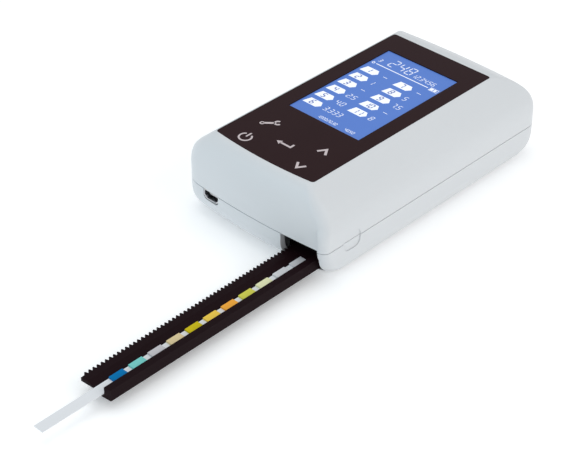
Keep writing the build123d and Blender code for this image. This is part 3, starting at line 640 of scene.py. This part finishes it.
def plates(name, lines, low, high, material, outlines=()):
    """One mesh of thin plates: strokes given as (points, width) and closed flat outlines."""
    points, faces = [], []

    def add(flat_faces, flat_points):
        start = len(points)
        size = len(flat_points)
        points.extend((x, y, z) for z in (low, high) for x, y in flat_points)
        faces.extend(tuple(start + size + i for i in f) for f in flat_faces)
        faces.extend(tuple(start + i for i in reversed(f)) for f in flat_faces)
        edges = {}
        for f in flat_faces:
            for i, a in enumerate(f):
                edges[(a, f[(i + 1) % len(f)])] = True
        for a, b in edges:
            if (b, a) not in edges:
                faces.append((start + a, start + b, start + size + b, start + size + a))

    for line, width in lines:
        left, right = stroke(line, width)
        n = len(line)
        add([(i, n + i, n + i + 1, i + 1) for i in range(n - 1)], left + right)
    for flat in outlines:
        add([tuple(range(len(flat)))], list(flat))
    piece = new_piece(name, points, faces, material)
    return piece


def arc(cx, cy, radius, start, end, steps=28):
    turns = [radians(start + (end - start) * i / steps) for i in range(steps + 1)]
    return [(cx + radius * cos(a), cy + radius * sin(a)) for a in turns]


INK = 0.03
SIGN_Z = (TOP, TOP + INK)
print("stroke tools ready")

# %% The five signs
def key_place(name):
    x, y = KEYS[name]
    return x, FRONT + y


x, y = key_place("power")
plates("sign_power", [(arc(x, y, 2.15, 122, 418), 0.62), ([(x, y + 0.3), (x, y + 2.9)], 0.62)],
       *SIGN_Z, sign_grey)
x, y = key_place("enter")
x -= 0.7
plates("sign_enter", [([(x + 2.9, y + 1.5), (x + 2.9, y - 0.35), (x - 1.5, y - 0.35)], 0.75)],
       *SIGN_Z, sign_grey, [[(x - 3.1, y - 0.35), (x - 1.3, y - 1.45), (x - 1.3, y + 0.75)]])
for name, turn in (("up", 1), ("down", -1)):
    x, y = key_place(name)
    plates(f"sign_{name}", [([(x - 1.75, y - 1.35 * turn), (x, y + 1.3 * turn),
                              (x + 1.75, y - 1.35 * turn)], 0.85)], *SIGN_Z, sign_grey)
x, y = key_place("setup")
lean = radians(42)


def along(u, v):
    """A place in the spanner's own directions: u along its handle, v across."""
    return (x + u * cos(lean) - v * sin(lean), y + u * sin(lean) + v * cos(lean))


ring_end = [along(-2.7 + 0.62 * cos(a), 0.62 * sin(a)) for a in
            [radians(20 + 320 * i / 20) for i in range(21)]]
jaw = [along(2.45 + 1.0 * cos(a), 1.0 * sin(a)) for a in
       [radians(48 + 264 * i / 20) for i in range(21)]]
plates("sign_setup", [(ring_end, 0.45), ([along(-2.0, 0), along(1.5, 0)], 1.0), (jaw, 0.75)],
       *SIGN_Z, sign_grey)
print("signs made: 5")

# %% [markdown]
# ## What the display shows
#
# A result screen has a running number on top, a rule with a battery mark, and eleven
# tags with a value beside each. The tags carry plain numbers here. Digits are drawn from
# the seven bars of a segment display, leaning a little to the right.

# %% Segment digits
BARS = {"a": ((0, 1), (1, 1)), "b": ((1, 1), (1, 0.5)), "c": ((1, 0.5), (1, 0)),
        "d": ((0, 0), (1, 0)), "e": ((0, 0), (0, 0.5)), "f": ((0, 0.5), (0, 1)),
        "g": ((0, 0.5), (1, 0.5))}
LIT = {"0": "abcdef", "1": "bc", "2": "abged", "3": "abgcd", "4": "fgbc",
       "5": "afgcd", "6": "afgedc", "7": "abc", "8": "abcdefg", "9": "abcdfg"}


def segments(text, left, base, height, weight):
    """Strokes of a number on the display, its lower left corner at left, base."""
    strokes, pen = [], left
    wide = height * 0.5
    for sign in text:
        if sign == ".":
            strokes.append(([(pen - wide * 0.22, base - weight * 0.4),
                             (pen - wide * 0.22, base + weight * 0.9)], weight * 1.3))
            pen += wide * 0.25
            continue
        if sign == "-":
            level = base + height / 2
            strokes.append(([(pen, level), (pen + wide * 1.5, level)], weight))
        for bar in LIT.get(sign, ""):
            ends = []
            (x0, y0), (x1, y1) = BARS[bar]
            for u, v in ((x0 + (x1 - x0) * 0.1, y0 + (y1 - y0) * 0.1),
                         (x1 - (x1 - x0) * 0.1, y1 - (y1 - y0) * 0.1)):
                ends.append((pen + u * wide + v * height * 0.16, base + v * height))
            strokes.append((ends, weight))
        pen += wide * 1.62
    return strokes


def screen(u, v):
    """A place on the display: u from its left edge, v down from its top edge, in shares."""
    return WINDOW[0] + u * (WINDOW[1] - WINDOW[0]), WINDOW[3] - v * (WINDOW[3] - WINDOW[2])


print("digits known:", len(LIT))

# %% Display graphics
white, tags, tag_numbers = [], [], []
for text, u, v, height, weight in (("248", 0.19, 0.155, 4.6, 0.3), ("3", 0.06, 0.155, 1.7, 0.18),
                                   ("12.34.56", 0.54, 0.155, 2.0, 0.19),
                                   ("1000.20.30", 0.36, 0.965, 1.25, 0.14),
                                   ("40.50", 0.74, 0.965, 1.25, 0.14)):
    white += segments(text, *screen(u, v), height, weight)
white.append(([screen(0.085, 0.19), screen(0.83, 0.19)], 0.36))
white.append((arc(*screen(0.045, 0.19), 0.5, 0, 360, 18), 0.25))
for u0, u1 in ((0.865, 0.905), (0.915, 0.945)):
    across = [screen(u, 0)[0] for u in (u0, u1)]
    tags.append(rectangle(*across, *[screen(0, v)[1] for v in (0.203, 0.177)]))
battery = ((0.858, 0.172), (0.965, 0.172), (0.965, 0.208), (0.858, 0.208), (0.858, 0.172))
white.append(([screen(u, v) for u, v in battery], 0.16))
LEFT_VALUES = ("-", "1", "-", "2.5", "4.0", "3.333")
RIGHT_VALUES = ("-", "5", "7.5", "-", "8")
for column, values in ((0.04, LEFT_VALUES), (0.52, RIGHT_VALUES)):
    for row, value in enumerate(values):
        x0, y0 = screen(column - 0.01, 0.290 + 0.1125 * row)
        long, tall = 7.0, 1.75
        tags.append([(x0, y0 - tall), (x0 + long - 1.3, y0 - tall), (x0 + long, y0 - tall * 0.1),
                     (x0 + long - 1.1, y0 + tall), (x0 + 0.9, y0 + tall)])
        number = str(row + 1 if column < 0.1 else row + 7)
        tag_numbers += segments(number, x0 + 2.9 - 0.7 * len(number), y0 - 1.2, 2.4, 0.36)
        white += segments(value, x0 + 8.4 + (0.9 if value == "-" else 0), y0 - 1.2, 2.35, 0.2)
GLASS_Z = 31.7
plates("display_marks", white, GLASS_Z, GLASS_Z + INK, display_white)
plates("display_tags", [], GLASS_Z, GLASS_Z + INK, display_white, tags)
plates("display_tag_numbers", tag_numbers, GLASS_Z + INK, GLASS_Z + 0.05, display_deep)
print("display strokes:", len(white), "tags:", len(tags))

# %% [markdown]
# ## The studio
#
# The photograph is high key: a white sweep that burns out, light from all round, and the
# front a little cooler than the side and the top. A pale floor under a bright, faintly
# blue world gives the white ground with a soft dark edge where the case stands. Two
# neutral lamps warm what faces up and to the right, and a cool one looks at the front.
# The floor glows a little, like a light table, which lifts the shadow and the low front.
# The plain sRGB view keeps white white, where a film-like view would turn it grey.

# %% Floor, world and lamps
def studio_floor():
    finish = Finish("studio_floor", (0.9, 0.9, 0.9), 0.9)
    finish.feed("Emission Color", (1.0, 1.0, 1.0, 1))
    finish.feed("Emission Strength", 0.18)
    tone = finish.noise(6.0, 2.0)
    finish.feed("Base Color", finish.mix(tone, (0.96, 0.96, 0.96, 1), (0.98, 0.98, 0.98, 1)))
    return finish.material


size = 3000
corners = [(x, y, 0) for x, y in rectangle(-size, size, -size, size)]
floor = new_piece("studio_floor", corners, [(0, 1, 2, 3)], studio_floor(), None)

world = bpy.data.worlds.new("white_room")
bpy.context.scene.world = world
world.use_nodes = True
world.node_tree.nodes["Background"].inputs["Color"].default_value = (0.93, 0.97, 1.0, 1)
world.node_tree.nodes["Background"].inputs["Strength"].default_value = 0.68
bpy.context.scene.view_settings.view_transform = "Standard"


def lamp(name, place, aim, size, power, color=(1, 1, 1)):
    """A square soft lamp that looks at a point."""
    light = bpy.data.lights.new(name, "AREA")
    light.size, light.energy, light.color = size, power, color
    made = bpy.data.objects.new(name, light)
    made.location = place
    made.rotation_mode = "QUATERNION"
    made.rotation_quaternion = (Vector(aim) - Vector(place)).to_track_quat("-Z", "Y")
    bpy.context.scene.collection.objects.link(made)
    return made


lamp("side_lamp", (0.9, 0.25, 0.55), (0, 0.03, 0), 0.8, 2.6, (1.0, 0.97, 0.94))
lamp("top_lamp", (-0.2, 0.1, 1.1), (0, 0, 0), 0.9, 2.7, (1.0, 0.97, 0.94))
lamp("front_lamp", (-0.3, -0.9, 0.35), (0, 0, 0.01), 0.7, 1.8, (0.52, 0.83, 1.0))
print("lamps: 3")

# %% Finish
bpy.context.view_layer.update()
